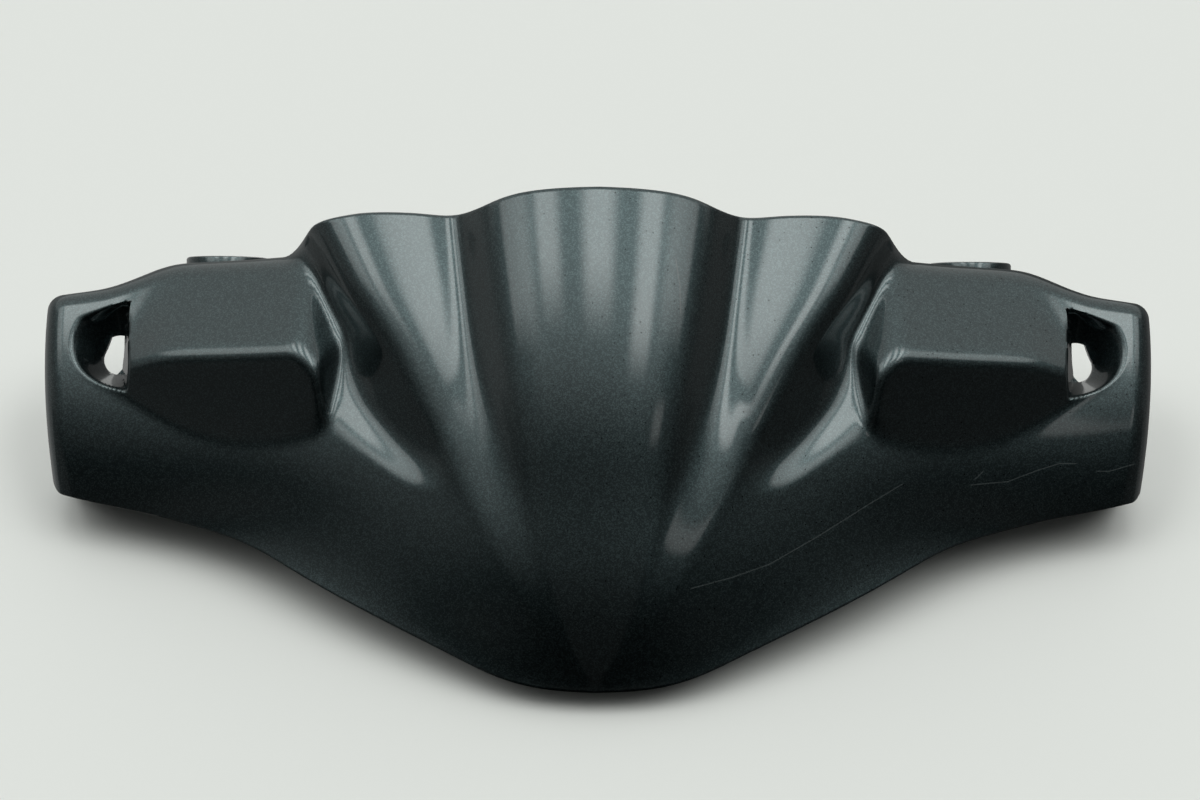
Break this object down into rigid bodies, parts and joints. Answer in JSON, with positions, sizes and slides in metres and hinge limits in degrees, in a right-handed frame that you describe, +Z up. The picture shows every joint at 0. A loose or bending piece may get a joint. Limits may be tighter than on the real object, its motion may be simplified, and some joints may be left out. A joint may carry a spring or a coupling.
{
  "type": "scooter handlebar cover",
  "caption": "Moulded front handlebar cover with a lobed centre cowl, boxed wings, teardrop openings and screw posts behind, painted dark metallic.",
  "frame": {"origin": "middle of the footprint on the table, under the centre of the bounding box", "axes": "+Z up as the cover stands on its rim, -Y towards the viewer of the painted face, +X to the viewer's right"},
  "size_m": [0.43, 0.1818, 0.148],
  "materials": {
    "handlebar_cover": "dark metallic paint under clear gloss"
  },
  "bodies": {
    "root": {"handlebar_cover": "handlebar_cover"}
  },
  "joints": []
}
